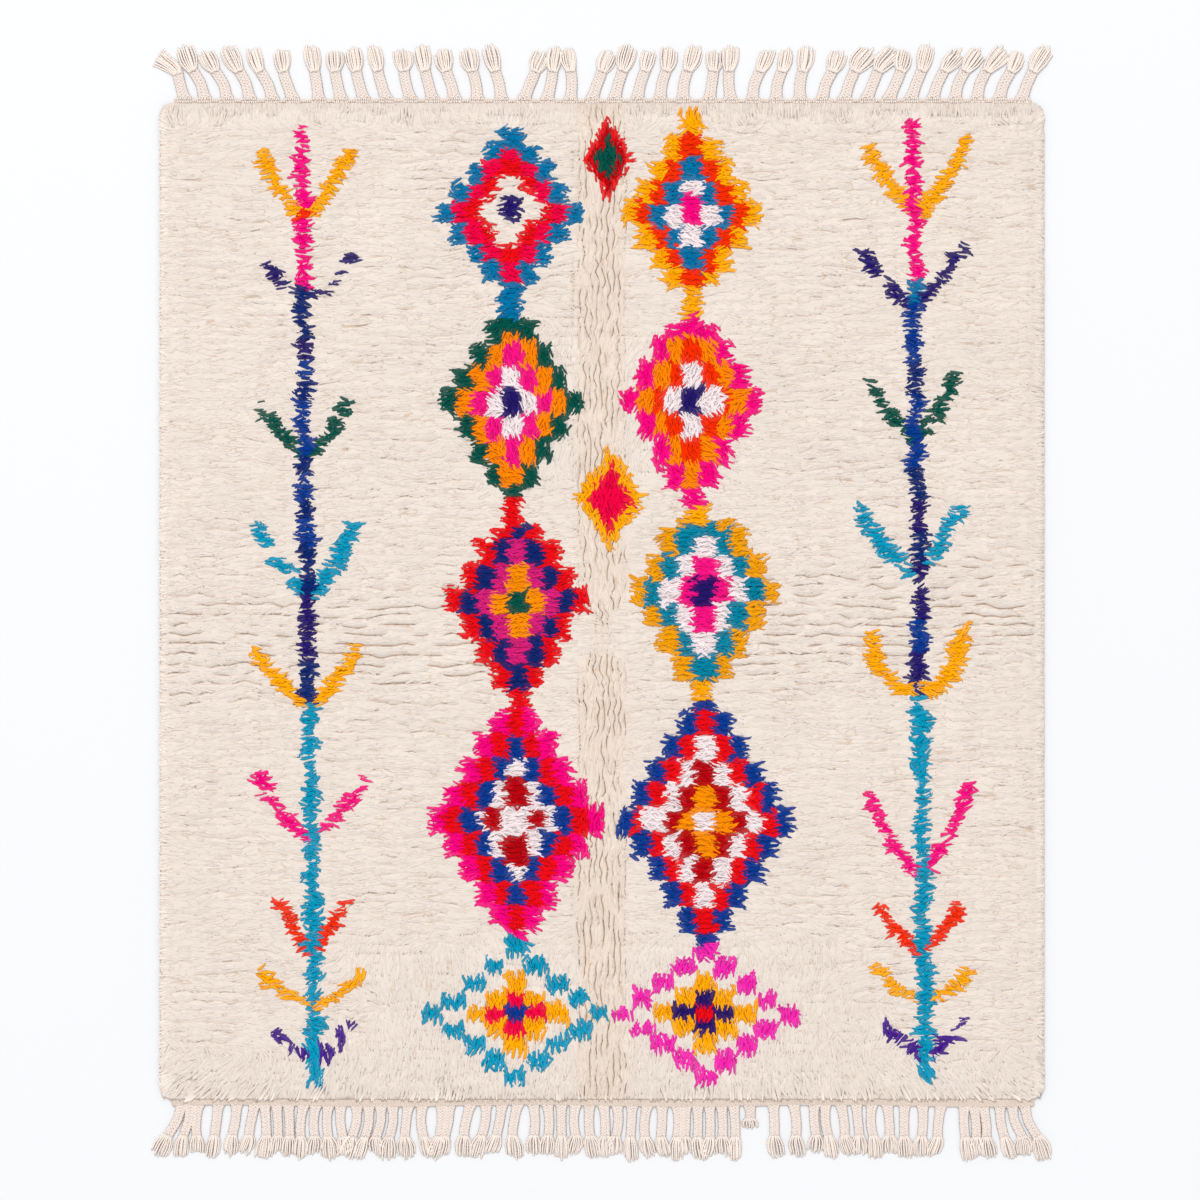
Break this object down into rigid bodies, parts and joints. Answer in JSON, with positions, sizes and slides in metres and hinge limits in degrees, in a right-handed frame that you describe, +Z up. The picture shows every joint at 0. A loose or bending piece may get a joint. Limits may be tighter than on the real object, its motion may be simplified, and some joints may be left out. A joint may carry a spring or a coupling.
{
  "type": "long-pile rug",
  "caption": "Hand-knotted wool rug with a long cream pile, stepped lozenges and branch motifs, and a plaited fringe at both ends.",
  "frame": {"origin": "on the floor, under the middle of the whole rug with its fringes", "axes": "+Z up out of the pile, +Y along the length, toward the end with the thinner end band"},
  "size_m": [1.5412, 1.9122, 0.024],
  "materials": {
    "pile": "matte",
    "fringe": "matte"
  },
  "bodies": {
    "root": {"rug_pile": "pile", "fringe_top": "fringe", "fringe_bottom": "fringe"}
  },
  "joints": []
}
